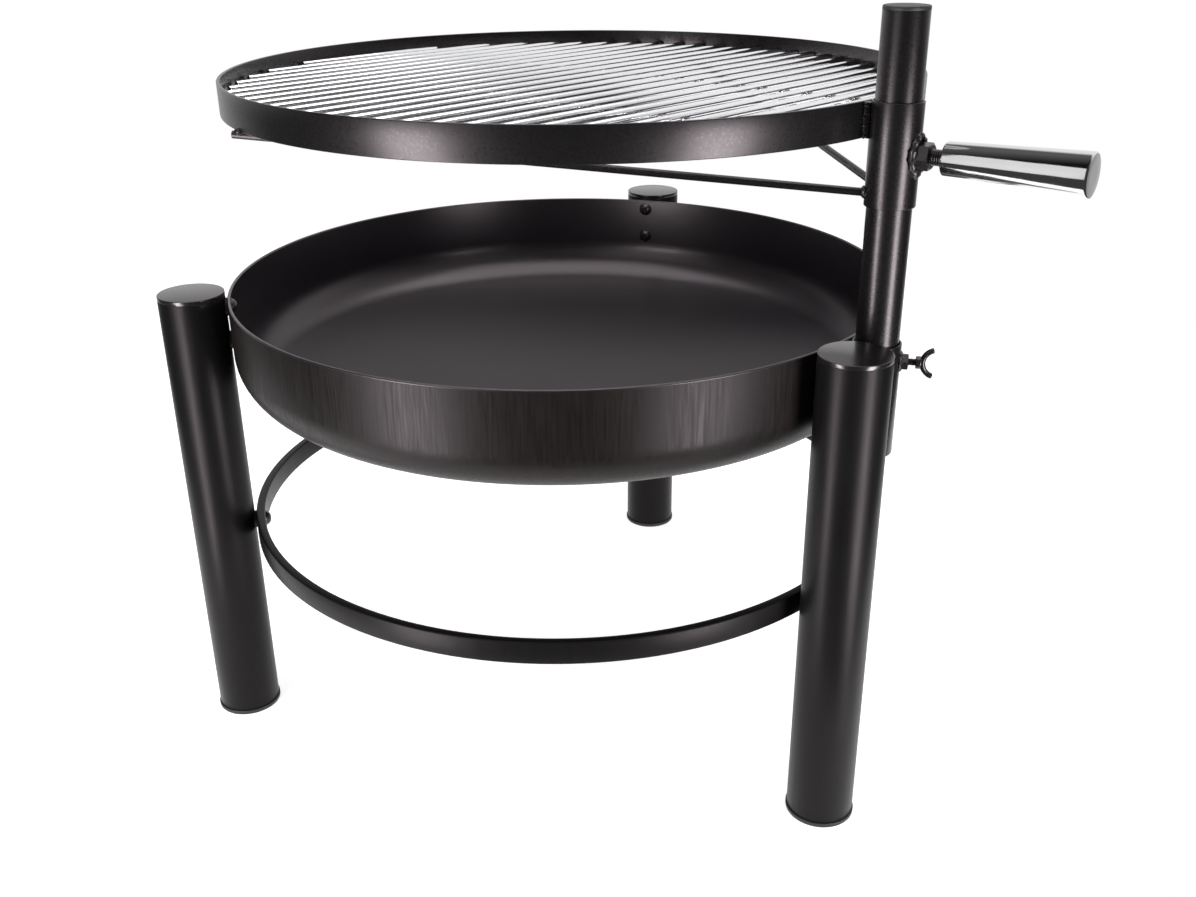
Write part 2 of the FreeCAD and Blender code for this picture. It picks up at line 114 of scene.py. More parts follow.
def drawn(name, outline):
    """A chain of edges in the XZ plane through (radius, height) points."""
    clear_selection()
    bpy.ops.mesh.primitive_plane_add()
    piece = bpy.context.object
    piece.name = name
    bpy.ops.object.mode_set(mode="EDIT")
    bpy.ops.mesh.select_all(action="SELECT")
    bpy.ops.mesh.merge(type="CENTER")
    last = Vector((0, 0))
    for i, point in enumerate(outline):
        step = Vector(point) - last
        if i and step.length < same_place:
            continue
        if i:
            bpy.ops.mesh.extrude_vertices_move(TRANSFORM_OT_translate={"value": (step.x, 0, step.y)})
        else:
            bpy.ops.transform.translate(value=(step.x, 0, step.y))
        last = Vector(point)
    bpy.ops.object.mode_set(mode="OBJECT")
    return piece


def tidy_shell(piece):
    """Merges doubled points and turns all faces outwards."""
    take_in_hand(piece)
    bpy.ops.object.mode_set(mode="EDIT")
    bpy.ops.mesh.select_all(action="SELECT")
    bpy.ops.mesh.remove_doubles(threshold=same_place)
    bpy.ops.mesh.normals_make_consistent(inside=False)
    bpy.ops.object.mode_set(mode="OBJECT")


def turned(name, outline, steps):
    """Round piece about the Z axis; an outline that stays off the axis is closed to a loop."""
    piece = drawn(name, outline)
    if outline[0][0] > same_place and outline[-1][0] > same_place:
        ends = (0, len(piece.data.vertices) - 1)
        for vertex in piece.data.vertices:
            vertex.select = vertex.index in ends
        bpy.ops.object.mode_set(mode="EDIT")
        bpy.ops.mesh.edge_face_add()
        bpy.ops.object.mode_set(mode="OBJECT")
    bpy.ops.object.mode_set(mode="EDIT")
    bpy.ops.mesh.select_all(action="SELECT")
    bpy.ops.mesh.spin(steps=steps, angle=math.tau, center=(0, 0, 0), axis=(0, 0, 1))
    tidy_shell(piece)
    return piece


def stand(piece, place, way=UP):
    """Moves a piece from the origin to its place, its own Z along a way, and keeps that in the mesh."""
    take_in_hand(piece)
    piece.matrix_world = Matrix.Translation(place) @ UP.rotation_difference(way).to_matrix().to_4x4()
    bpy.ops.object.transform_apply(location=True, rotation=True, scale=True)
    return piece


def wall_outline(outer, inner, bottom, top, edge):
    """Half section of a tube or a rolled bar, with its four edges rounded."""
    return (arc(outer - edge, bottom + edge, edge, -90, 0, edge_parts)
            + arc(outer - edge, top - edge, edge, 0, 90, edge_parts)
            + arc(inner + edge, top - edge, edge, 90, 180, edge_parts)
            + arc(inner + edge, bottom + edge, edge, 180, 270, edge_parts))


print("turning helpers ready")

# %% [markdown]
# ## Finishing a piece
# Every piece needs the same last steps: smooth shading that stops at real edges, its finish, the body that
# it moves with and the solid that it takes over from. One helper does them all, so none is forgotten, and
# prints the number of faces.

# %% Helper that finishes a piece
def dress(piece, finish, slot, body, *nodes, angle=32):
    """Shades the piece, gives it a finish and ties it to its body and solids."""
    take_in_hand(piece)
    bpy.ops.object.shade_smooth_by_angle(angle=math.radians(angle))
    piece.data.materials.clear()
    piece.data.materials.append(finish)
    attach(piece, body)
    if nodes:
        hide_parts(*nodes)
    print(piece.name, len(piece.data.polygons), "faces on", body)


def new_finish(name):
    """An empty material with its node tree and main shader."""
    finish = bpy.data.materials.new(name)
    finish.use_nodes = True
    return finish, finish.node_tree, finish.node_tree.nodes["Principled BSDF"]


def shader_node(tree, kind, inputs, **settings):
    """A shader node; an input is either a plain value or the output of another node."""
    made = tree.nodes.new(kind)
    for key, value in settings.items():
        setattr(made, key, value)
    for key, value in inputs.items():
        if isinstance(value, bpy.types.NodeSocket):
            tree.links.new(value, made.inputs[key])
        else:
            made.inputs[key].default_value = value
    return made


print("finishing helpers ready")

# %% [markdown]
# ## Satin black paint
# The steel is sprayed a satin black that is never quite even: soft clouds of tone, a fine orange peel, and
# on the legs and the bowl's skirt long faint streaks from grinding the steel before painting. A single colour
# with one roughness would look like plastic. Here one noise on Object coordinates varies the tone, and a
# finer one varies the roughness. Where there are streaks, that finer noise is stretched along Z, so they
# show in the highlights as they do on steel. The gloss is tinted a little warm, as the highlights in the
# photo are.

# %% Satin paint
warm_gloss = (1.0, 0.88, 0.93, 1)
bump_height = 0.0002


def satin_paint(name, deep, pale, gloss, smooth, rough, peel, streak, streak_length):
    """Black paint between two tones and two roughnesses, with bump for its orange peel and its streaks."""
    finish, tree, shader = new_finish(name)
    shader.inputs["Specular IOR Level"].default_value = gloss
    shader.inputs["Specular Tint"].default_value = warm_gloss
    where = shader_node(tree, "ShaderNodeTexCoord", {}).outputs["Object"]
    clouds = shader_node(tree, "ShaderNodeTexNoise",
                         {"Vector": where, "Scale": 11, "Detail": 5, "Roughness": 0.6})
    tone = shader_node(tree, "ShaderNodeMix", {"Factor": clouds.outputs["Fac"]}, data_type="RGBA")
    tone.inputs[6].default_value = (*deep, 1)
    tone.inputs[7].default_value = (*pale, 1)
    tree.links.new(tone.outputs[2], shader.inputs["Base Color"])
    drawn_out = shader_node(tree, "ShaderNodeMapping", {"Vector": where, "Scale": (1, 1, streak_length)})
    streaks = shader_node(tree, "ShaderNodeTexNoise", {"Vector": drawn_out.outputs["Vector"], "Scale": 520,
                                                       "Detail": 3, "Roughness": 0.55})
    sheen = shader_node(tree, "ShaderNodeMapRange", {"Value": streaks.outputs["Fac"], "From Min": 0.3,
                                                     "From Max": 0.7, "To Min": smooth, "To Max": rough})
    tree.links.new(sheen.outputs["Result"], shader.inputs["Roughness"])
    grain = shader_node(tree, "ShaderNodeTexNoise", {"Vector": where, "Scale": 950, "Detail": 2})
    bumps = shader_node(tree, "ShaderNodeBump",
                        {"Height": grain.outputs["Fac"], "Strength": peel, "Distance": bump_height})
    lines = shader_node(tree, "ShaderNodeBump", {"Height": streaks.outputs["Fac"], "Strength": streak,
                                                 "Distance": bump_height, "Normal": bumps.outputs["Normal"]})
    tree.links.new(lines.outputs["Normal"], shader.inputs["Normal"])
    return finish


tube_paint = satin_paint("tube_paint", (0.0025, 0.0024, 0.0025), (0.006, 0.0058, 0.006),
                         gloss=0.43, smooth=0.26, rough=0.33,
                         peel=0.06, streak=0.02, streak_length=1)
leg_paint = satin_paint("leg_paint", (0.0025, 0.0024, 0.0025), (0.006, 0.0057, 0.006),
                        gloss=0.13, smooth=0.32, rough=0.41,
                        peel=0.14, streak=0.05, streak_length=0.02)
skirt_paint = satin_paint("skirt_paint", (0.0028, 0.0023, 0.0021), (0.008, 0.0064, 0.0056),
                          gloss=0.19, smooth=0.32, rough=0.49,
                          peel=0.14, streak=0.16, streak_length=0.05)
bowl_paint = satin_paint("bowl_paint", (0.005, 0.0043, 0.0054), (0.009, 0.0077, 0.0098),
                         gloss=0.68, smooth=0.28, rough=0.34,
                         peel=0.03, streak=0.02, streak_length=1)
plate_paint = satin_paint("plate_paint", (0.004, 0.0039, 0.004), (0.009, 0.0087, 0.009),
                          gloss=0.7, smooth=0.19, rough=0.26,
                          peel=0.10, streak=0.03, streak_length=1)
print("paints", tube_paint.name, leg_paint.name, skirt_paint.name, bowl_paint.name, plate_paint.name)

# %% [markdown]
# ## Bowl
# The bowl is one pressed sheet: a shallow crown, a tight knuckle and a straight skirt. A cut sphere would
# miss the knuckle, which is where the light turns. So the section is drawn from the three arcs of the
# press tool, outside from the middle up to the rim and inside back down, and then turned. The skirt outside
# is brushed before painting and the inside isn't, so the two get different finishes by face.

# %% Bowl
bowl_wall = 0.003
bowl_skirt = 0.0475
bowl_knuckle = 0.0425
bowl_crown = 0.750
rim_round = 0.0012

knuckle_r = bowl_radius - bowl_knuckle
knuckle_z = rim_height - bowl_skirt
crown_rise = math.sqrt((bowl_crown - bowl_knuckle) ** 2 - knuckle_r ** 2)
crown_z = knuckle_z + crown_rise
meeting = -math.degrees(math.atan2(crown_rise, knuckle_r))
inner_radius = bowl_radius - bowl_wall
bowl_outline = (
    arc(0, crown_z, bowl_crown, -90, meeting, 16)
    + arc(knuckle_r, knuckle_z, bowl_knuckle, meeting, 0, 12)
    + arc(bowl_radius - rim_round, rim_height - rim_round, rim_round, 0, 90, 4)
    + arc(inner_radius + rim_round, rim_height - rim_round, rim_round, 90, 180, 4)
    + arc(knuckle_r, knuckle_z, bowl_knuckle - bowl_wall, 0, meeting, 12)
    + arc(0, crown_z, bowl_crown - bowl_wall, meeting, -90, 16))
bowl_outline[0] = (0, bowl_outline[0][1])
bowl_outline[-1] = (0, bowl_outline[-1][1])
bowl_sheet = stand(turned("bowl_sheet", bowl_outline, 144), bowl_axis)
dress(bowl_sheet, skirt_paint, "bowl_paint", "base", "bowl")
bowl_sheet.data.materials.append(bowl_paint)
upward = 0.05
inward = -0.3
for face in bowl_sheet.data.polygons:
    outward = Vector((face.center.x - bowl_axis.x, face.center.y - bowl_axis.y, 0)).normalized()
    if face.normal.z > upward or face.normal.dot(outward) < inward:
        face.material_index = 1

# %% [markdown]
# ## Legs
# Each leg is a length of tube with a flat plate welded on top and ground flush, and a plastic foot pushed in
# from below. The tube has a real wall, and its ends are slightly rounded, so a fine dark seam shows under the
# plate and above the foot as on the real leg. One outline serves all three legs.

# %% Leg tubes and plates
leg_wall = 0.002
leg_edge = 0.0002
plate_edge = 0.0006
leg_names = ("front", "back", "left")
for name in leg_names:
    axis, radius, bottom, top = round_node("leg_" + name)
    outline = wall_outline(radius, radius - leg_wall, bottom, top, leg_edge)
    tube = stand(turned("leg_tube_" + name, outline, 72), axis)
    dress(tube, leg_paint, "frame_paint", "base", "leg_" + name)
    axis, radius, bottom, top = round_node("leg_plate_" + name)
    outline = ([(0, bottom)] + arc(radius - leg_edge, bottom + leg_edge, leg_edge, -90, 0, 2)
               + arc(radius - plate_edge, top - plate_edge, plate_edge, 0, 90, 4) + [(0, top)])
    plate = stand(turned("leg_top_" + name, outline, 72), axis)
    dress(plate, plate_paint, "frame_paint", "base", "leg_plate_" + name)

# %% [markdown]
# ## Feet
# A foot is a moulded plug: a flat disc a little wider than the tube, with a collar that sticks in the tube.
# The plastic is duller than the paint and has a fine moulded grain, which is noise in bump and roughness.

# %% Black plastic and feet
def moulded_plastic(name, deep, pale):
    """Matt black plastic with a fine moulded grain."""
    finish, tree, shader = new_finish(name)
    where = shader_node(tree, "ShaderNodeTexCoord", {}).outputs["Object"]
    clouds = shader_node(tree, "ShaderNodeTexNoise", {"Vector": where, "Scale": 60, "Detail": 4})
    tone = shader_node(tree, "ShaderNodeMix", {"Factor": clouds.outputs["Fac"]}, data_type="RGBA")
    tone.inputs[6].default_value = (*deep, 1)
    tone.inputs[7].default_value = (*pale, 1)
    tree.links.new(tone.outputs[2], shader.inputs["Base Color"])
    grain = shader_node(tree, "ShaderNodeTexVoronoi", {"Vector": where, "Scale": 1300})
    sheen = shader_node(tree, "ShaderNodeMapRange",
                        {"Value": grain.outputs["Distance"], "To Min": 0.48, "To Max": 0.62})
    tree.links.new(sheen.outputs["Result"], shader.inputs["Roughness"])
    bumps = shader_node(tree, "ShaderNodeBump",
                        {"Height": grain.outputs["Distance"], "Strength": 0.25, "Distance": bump_height})
    tree.links.new(bumps.outputs["Normal"], shader.inputs["Normal"])
    return finish


black_plastic = moulded_plastic("black_plastic", (0.007, 0.007, 0.0073), (0.013, 0.013, 0.0137))
foot_disc = 0.0045
foot_shoulder = 0.0032
foot_sole_edge = 0.0018
foot_disc_edge = 0.0005
collar_wall = 0.003
collar_edge = 0.001
for name in leg_names:
    axis, radius, bottom, top = round_node("foot_" + name)
    plug = radius - foot_shoulder
    outline = ([(0, bottom)]
               + arc(radius - foot_sole_edge, bottom + foot_sole_edge, foot_sole_edge, -90, 0, 4)
               + arc(radius - foot_disc_edge, foot_disc - foot_disc_edge, foot_disc_edge, 0, 90, edge_parts)
               + [(plug, foot_disc)]
               + arc(plug - collar_edge, top - collar_edge, collar_edge, 0, 90, edge_parts)
               + [(plug - collar_wall, top), (plug - collar_wall, foot_disc), (0, foot_disc)])
    foot = stand(turned("foot_plug_" + name, outline, 72), axis)
    dress(foot, black_plastic, "black_plastic", "base", "foot_" + name)

# %% [markdown]
# ## Base ring and grill hoop
# Both are flat bar rolled on edge. The base ring is thick with soft corners, the hoop thin with crisp ones,
# and that difference shows as a broad or a fine line of light along the top edge. So both are turned from a
# small rectangle whose corners are drawn as arcs of their own radius.

# %% Base ring and grill hoop
ring_wall = 0.008
ring_edge = 0.0015
ring_axis, ring_radius, ring_bottom, ring_top = round_node("base_ring")
ring_outline = wall_outline(ring_radius, ring_radius - ring_wall, ring_bottom, ring_top, ring_edge)
base_ring = stand(turned("base_ring_bar", ring_outline, 160), ring_axis)
dress(base_ring, leg_paint, "frame_paint", "base", "base_ring")

hoop_wall = 0.003
hoop_edge = 0.0007
hoop_outline = wall_outline(hoop_radius, hoop_radius - hoop_wall, hoop_bottom, hoop_top, hoop_edge)
hoop = stand(turned("grill_hoop_bar", hoop_outline, 180), hoop_axis)
dress(hoop, tube_paint, "frame_paint", "grill", "grill_hoop")

# %% [markdown]
# ## Post, sleeve and socket
# The post is plain tube. The sleeve that slides on it and the socket that holds it are cut from the next
# larger tube, so a thin dark gap and the end of the wall show at each end. A solid cylinder would lose both,
# which is why these tubes keep their walls.

# %% Post, cap, sleeve and socket
post_wall = 0.0026
post_edge = 0.0004
post_outline = wall_outline(post_radius, post_radius - post_wall, post_bottom, post_top, post_edge)
post_tube = stand(turned("post_pipe", post_outline, 64), post_axis)
dress(post_tube, tube_paint, "frame_paint", "post", "post_tube")

axis, radius, plug_bottom, cap_top = round_node("post_cap")
cap_shoulder = 0.0028
cap_seat_edge = 0.0003
cap_top_edge = 0.0011
plug = radius - cap_shoulder
cap_outline = ([(0, plug_bottom)]
               + arc(plug - collar_edge, plug_bottom + collar_edge, collar_edge, -90, 0, edge_parts)
               + [(plug, post_top)]
               + arc(radius - cap_seat_edge, post_top + cap_seat_edge, cap_seat_edge, -90, 0, 2)
               + arc(radius - cap_top_edge, cap_top - cap_top_edge, cap_top_edge, 0, 90, 5) + [(0, cap_top)])
post_cap = stand(turned("post_end_cap", cap_outline, 64), axis)
dress(post_cap, black_plastic, "black_plastic", "post", "post_cap")

carrier_wall = 0.0015
carrier_edge = 0.0005
for name, node, body in (("sleeve_pipe", "sleeve", "grill"), ("socket_pipe", "socket_tube", "base")):
    axis, carrier_radius, bottom, top = round_node(node)
    outline = wall_outline(carrier_radius, carrier_radius - carrier_wall, bottom, top, carrier_edge)
    dress(stand(turned(name, outline, 64), axis), tube_paint, "frame_paint", body, node)

# %% [markdown]
# ## Bright chrome
# The grate and the grip are chromed. Chrome is a mirror, but drawn wire keeps fine lines along its length,
# and they blur the reflection across the bar only. So a noise is turned to the bars by a Mapping node and
# stretched along them, and drives roughness and a very low bump.

# %% Chrome
arm = (hoop_axis - post_axis).normalized()
across = UP.cross(arm)
bar_heading = math.atan2(across.y, across.x)


def chrome(name, deep, pale, smooth, rough, lines, turn):
    """Chrome plate between two tones, with drawn lines along X after the pattern is turned about Z."""
    finish, tree, shader = new_finish(name)
    shader.inputs["Metallic"].default_value = 1
    where = shader_node(tree, "ShaderNodeTexCoord", {}).outputs["Object"]
    turned_to = shader_node(tree, "ShaderNodeMapping", {"Vector": where, "Rotation": (0, 0, -turn)})
    along = shader_node(tree, "ShaderNodeMapping",
                        {"Vector": turned_to.outputs["Vector"], "Scale": (0.02, 1, 1)})
    draw = shader_node(tree, "ShaderNodeTexNoise",
                       {"Vector": along.outputs["Vector"], "Scale": 1500, "Detail": 3})
    haze = shader_node(tree, "ShaderNodeTexNoise", {"Vector": where, "Scale": 28, "Detail": 4})
    tone = shader_node(tree, "ShaderNodeMix", {"Factor": haze.outputs["Fac"]}, data_type="RGBA")
    tone.inputs[6].default_value = (*deep, 1)
    tone.inputs[7].default_value = (*pale, 1)
    tree.links.new(tone.outputs[2], shader.inputs["Base Color"])
    sheen = shader_node(tree, "ShaderNodeMapRange", {"Value": draw.outputs["Fac"], "From Min": 0.3,
                                                     "From Max": 0.7, "To Min": smooth, "To Max": rough})
    tree.links.new(sheen.outputs["Result"], shader.inputs["Roughness"])
    bumps = shader_node(tree, "ShaderNodeBump",
                        {"Height": draw.outputs["Fac"], "Strength": lines, "Distance": 0.0001})
    tree.links.new(bumps.outputs["Normal"], shader.inputs["Normal"])
    return finish


bar_chrome = chrome("bar_chrome", (0.80, 0.80, 0.82), (0.90, 0.90, 0.92), 0.09, 0.18, 0.10, bar_heading)
print("bars lie at", round(math.degrees(bar_heading), 2), "degrees")

# %% [markdown]
# ## Grate
# The grate is a row of round bars across two longer ones, each bar cut square a little short of the hoop, so
# the row of ends climbs in steps. A bar starts as a cylinder, and its two ends are bevelled, because a sawn
# bar is dressed before plating and its edge catches a point of light. Bars of different length are each made
# at their own size, since stretching one would stretch its bevels too.

# %% Rods with dressed ends
end_bevel = 0.25


def rod(name, start, end, radius, sides=16):
    """Round bar between two points, with both ends bevelled."""
    clear_selection()
    length = (end - start).length
    bpy.ops.mesh.primitive_cylinder_add(vertices=sides, radius=radius, depth=length)
    piece = bpy.context.object
    piece.name = name
    bpy.ops.object.mode_set(mode="EDIT")
    bpy.ops.mesh.select_all(action="DESELECT")
    bpy.ops.mesh.select_face_by_sides(number=sides, type="EQUAL", extend=False)
    bpy.ops.mesh.bevel(offset=radius * end_bevel, segments=2, affect="EDGES")
    bpy.ops.object.mode_set(mode="OBJECT")
    return stand(piece, (start + end) / 2, (end - start).normalized())


def joined(name, pieces):
    """One piece out of several."""
    take_in_hand(pieces[0])
    for piece in pieces:
        piece.select_set(True)
    bpy.ops.object.join()
    pieces[0].name = name
    return pieces[0]


bar_low, bar_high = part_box("grate_bars")
bar_radius = (bar_high.z - bar_low.z) / 2
bar_height = (bar_high.z + bar_low.z) / 2
bar_pitch = 0.0226
cross_offset = 0.081
grate_clearance = 0.001
bar_reach = hoop_radius - hoop_wall - grate_clearance


def half_bar(offset):
    """Half the length of a bar at an offset from the middle of the hoop."""
    return math.sqrt(bar_reach ** 2 - (abs(offset) + bar_radius) ** 2)


bars_each_side = int((half_bar(cross_offset) - bar_radius) / bar_pitch + 0.5)
bar_offsets = [(i + 0.5) * bar_pitch for i in range(-bars_each_side, bars_each_side)]
hoop_middle = hoop_axis + UP * bar_height
bars = []
for offset in bar_offsets:
    middle = hoop_middle + arm * offset
    half = across * half_bar(offset)
    bars.append(rod("grate_bar", middle - half, middle + half, bar_radius))
dress(joined("grate_bar_row", bars), bar_chrome, "chrome", "grate", "grate_bars")

# %% [markdown]
# The two cross bars lie right under the row. Where they meet the bars are spot-welded, and each spot leaves
# a small flattened bead on both sides of the bar. The bead is modelled once, from a sphere that is flattened
# in edit mode, and then copied to every crossing, a little aslant as the welding gun was held. The beads get
# a
# dark chrome, which is painted shade: it stands for the shadow and dark reflection of the cross bars there.

# %% Cross bars and spot welds
cross_drop = UP * (2 * bar_radius)
for name, side in (("left", 1), ("right", -1)):
    middle = hoop_middle - cross_drop + across * side * cross_offset
    half = arm * half_bar(cross_offset)
    cross_bar = rod("cross_bar_" + name, middle - half, middle + half, bar_radius)
    dress(cross_bar, bar_chrome, "chrome", "grate", "grate_cross_bar_" + name)

spot_radius = 0.0028
spot_flatness = 0.55
spot_slant = 0.3
spot_offset = 0.75
clear_selection()
bpy.ops.mesh.primitive_uv_sphere_add(segments=8, ring_count=6, radius=spot_radius)
spot = bpy.context.object
bpy.ops.object.mode_set(mode="EDIT")
bpy.ops.mesh.select_all(action="SELECT")
bpy.ops.transform.resize(value=(1.0, 1.0, spot_flatness))
bpy.ops.object.mode_set(mode="OBJECT")
spots = []
for offset in bar_offsets:
    for side in (1, -1):
        for edge in (1, -1):
            copy = spot.copy()
            copy.data = spot.data.copy()
            bpy.context.collection.objects.link(copy)
            crossing = hoop_middle - UP * bar_radius + arm * offset + across * side * cross_offset
            beside = (arm + across * spot_slant) * edge * bar_radius * spot_offset
            spots.append(stand(copy, crossing + beside))
bpy.data.objects.remove(spot)
# Dark chrome on the beads is painted shade for the shadow and dark reflection of the cross bars at each
# crossing
shaded_spot_chrome = chrome("shaded_spot_chrome", (0.22, 0.21, 0.20), (0.46, 0.45, 0.44), 0.26, 0.42, 0.20, bar_heading)
dress(joined("grate_spot_welds_and_shade", spots), shaded_spot_chrome, "chrome", "grate")

# %% [markdown]
# ## Support rods, ledges and welds
# The two rods of the V and the ledges have the right shape as solids, so they stay and only get their paint.
# The welds are what a plain solid can't show: a bead is a row of overlapping puddles. Its outline is drawn
# with one wave for each puddle and then turned, which gives a rippled bead with few faces.

# %% Weld beads
puddle_length = 0.0026
# Shares of the bead's radius, and of one puddle's length, along the wave of a puddle
puddle_wave = ((0.84, 0.08), (1.0, 0.45), (0.96, 0.75))


def weld_bead(name, length, radius):
    """Upright rippled bead that starts at the origin."""
    puddles = max(2, round(length / puddle_length))
    step = length / puddles
    outline = [(0, 0)]
    for i in range(puddles):
        for wide, along in puddle_wave:
            outline.append((radius * wide, (i + along) * step))
    return turned(name, outline + [(0, length)], 16)


weld_paint = satin_paint("weld_paint", (0.005, 0.005, 0.0052), (0.012, 0.0116, 0.012),
                         gloss=0.5, smooth=0.22, rough=0.42,
                         peel=0.45, streak=0.45, streak_length=1)
front_axis = round_node("leg_front")[0]
sleeve_radius = round_node("sleeve")[1]
socket_radius = round_node("socket_tube")[1]
half_gap = 0.0001
bead_roughness = 0.12

for name, node, body, to_axis, outer, weld_reach, weld_radius in (
        ("socket_weld_beads", "socket_welds", "base", front_axis, socket_radius, 0.009, 0.003),
        ("hoop_weld_beads", "hoop_welds", "grill", hoop_axis, sleeve_radius, 0.0112, 0.0043)):
    low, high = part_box(node)
    toward = (to_axis - post_axis).normalized()
    contact = post_axis + toward * (outer + half_gap)
    beads = []
    for side in (1, -1):
        bead = weld_bead("bead", high.z - low.z, weld_radius)
        beads.append(stand(bead, contact + UP.cross(toward) * side * weld_reach + UP * low.z))
    row = joined(name, beads)
    bpy.ops.object.mode_set(mode="EDIT")
    bpy.ops.mesh.select_all(action="SELECT")
    bpy.ops.transform.vertex_random(offset=weld_radius * bead_roughness, uniform=0.5, normal=0.5, seed=7)
    dress(row, weld_paint, "frame_paint", body, node, angle=50)

# %% [markdown]
# ## Clamp and wing threads
# A thread could be faked with grooves, but on the clamp stud a few turns stand free between nut and grip and
# the light shows them. The Screw modifier lifts one tooth of the thread by one pitch per turn and makes a
# true helix. Both ends end inside nut and grip, and are closed with Fill Holes.

# %% Threaded studs
# In shares of the pitch: depth of the thread, and where its flat crest starts and ends
thread_depth = 0.6
crest_start = 0.44
crest_end = 0.56
turn_steps = 24


def along_way(node, start, way):
    """Nearest and farthest distance of a node's points from a start along a way."""
    reaches = [(vertex.co - start).dot(way) for vertex in frame["nodes"][node].data.vertices]
    return min(reaches), max(reaches)


def threaded(name, diameter, pitch, length):
    """Upright thread that starts at the origin."""
    crest = diameter / 2
    root = crest - thread_depth * pitch
    piece = drawn(name, [(root, 0), (crest, pitch * crest_start), (crest, pitch * crest_end), (root, pitch)])
    take_in_hand(piece)
    thread = piece.modifiers.new("thread", "SCREW")
    thread.axis = "Z"
    thread.angle = math.tau
    thread.screw_offset = pitch
    thread.iterations = max(1, int(length / pitch) - 1)
    thread.steps = turn_steps
    thread.render_steps = turn_steps
    bpy.ops.object.modifier_apply(modifier="thread")
    bpy.ops.object.mode_set(mode="EDIT")
    bpy.ops.mesh.select_all(action="SELECT")
    bpy.ops.mesh.remove_doubles(threshold=same_place)
    bpy.ops.mesh.select_all(action="SELECT")
    bpy.ops.mesh.fill_holes(sides=0)
    tidy_shell(piece)
    return piece


joints = {joint["name"]: joint for joint in frame["record"]["behaviour"]["joints"]}
clamp_way = Vector(joints["clamp_turn"]["axis"]).normalized()
clamp_start = Vector(joints["clamp_turn"]["pos_m"])
wing_way = Vector(joints["wing_turn"]["axis"]).normalized()
wing_start = Vector(joints["wing_turn"]["pos_m"])

black_oxide = satin_paint("black_oxide", (0.006, 0.006, 0.0065), (0.014, 0.0137, 0.014),
                          gloss=0.6, smooth=0.17, rough=0.32,
                          peel=0.25, streak=0.25, streak_length=1)
for name, start, way, diameter, pitch in (("clamp_stud", clamp_start, clamp_way, 0.012, 0.00175),
                                          ("wing_stud", wing_start, wing_way, 0.006, 0.001)):
    near, far = along_way(name, start, way)
    stud = stand(threaded(name + "_thread", diameter, pitch, far - near), start + way * near, way)
    dress(stud, black_oxide, "black_fasteners", name, name, angle=20)

# %% [markdown]
# ## Clamp grip
# The grip is a turned and chromed steel handle, thicker at its free end, which is faced flat. It is a mirror
# all over, so its shape reads only from what it reflects: the section therefore needs its true taper and the
# small radius at the end face, which is where the bright line comes from.

# %% Clamp grip
grip_heading = math.atan2(clamp_way.y, clamp_way.x)
grip_chrome = chrome("grip_chrome", (0.66, 0.65, 0.66), (0.80, 0.79, 0.80), 0.06, 0.13, 0.06, grip_heading)
grip_near, grip_far = along_way("clamp_grip", clamp_start, clamp_way)
grip_length = grip_far - grip_near
grip_small = 0.0125
grip_large = 0.016
grip_bore = 0.0061
grip_bore_depth = 0.030
grip_edge = 0.0015
grip_face_ring = 0.45
grip_outline = ([(0, grip_bore_depth), (grip_bore, grip_bore_depth), (grip_bore, 0)]
                + arc(grip_small - grip_edge, grip_edge, grip_edge, -90, 0, 5)
                + arc(grip_large - grip_edge, grip_length - grip_edge, grip_edge, 2, 90, 6)
                + [(grip_large * grip_face_ring, grip_length), (0, grip_length)])
grip = stand(turned("clamp_grip_handle", grip_outline, 72), clamp_start + clamp_way * grip_near, clamp_way)
dress(grip, grip_chrome, "chrome", "clamp_grip", "clamp_grip")

# %% [markdown]
# ## Wing screw
# The wing is a short round bar bent to an open C and welded on a hub. A bent bar is Spin again, this time of
# a circle about the bend's own axis and for part of a turn only. The open ends are filled and bevelled round.

# %% Wing handle
wing_near, wing_far = along_way("wing_handle", wing_start, wing_way)
hub_base = wing_start + wing_way * wing_near
hub_radius = 0.005
hub_length = 0.0045
hub_bore = 0.0031
hub_bore_depth = 0.0028
hub_near_edge = 0.0006
hub_far_edge = 0.0012
bend_radius = 0.011
bend_bar = 0.0023
bend_seat = 0.0007
bend_sweep = math.radians(150)
bend_sides = 16
bend_end_bevel = 0.0012
hub_outline = ([(0, hub_bore_depth), (hub_bore, hub_bore_depth), (hub_bore, 0)]
               + arc(hub_radius - hub_near_edge, hub_near_edge, hub_near_edge, -90, 0, edge_parts)
               + arc(hub_radius - hub_far_edge, hub_length - hub_far_edge, hub_far_edge, 0, 90, 4)
               + [(0, hub_length)])
hub = stand(turned("wing_hub", hub_outline, 32), hub_base, wing_way)

bend_centre = hub_base + wing_way * (hub_length + bend_seat + bend_radius)
bend_axis = wing_way.cross(UP)
first_way = Matrix.Rotation(bend_sweep / 2, 3, bend_axis) @ -wing_way
clear_selection()
bpy.ops.mesh.primitive_circle_add(vertices=bend_sides, radius=bend_bar)
wing_bar = bpy.context.object
wing_bar.name = "wing_bar"
stand(wing_bar, bend_centre + first_way * bend_radius, bend_axis.cross(first_way).normalized())
bpy.ops.object.mode_set(mode="EDIT")
bpy.ops.mesh.select_all(action="SELECT")
bpy.ops.mesh.spin(steps=36, angle=bend_sweep, center=bend_centre, axis=bend_axis)
bpy.ops.mesh.select_all(action="SELECT")
bpy.ops.mesh.fill_holes(sides=0)
bpy.ops.mesh.select_all(action="DESELECT")
bpy.ops.mesh.select_face_by_sides(number=bend_sides, type="EQUAL", extend=False)
bpy.ops.mesh.bevel(offset=bend_end_bevel, segments=4, affect="EDGES")
tidy_shell(wing_bar)
wing = joined("wing_screw_handle", [hub, wing_bar])
dress(wing, black_oxide, "black_fasteners", "wing_handle", "wing_handle")

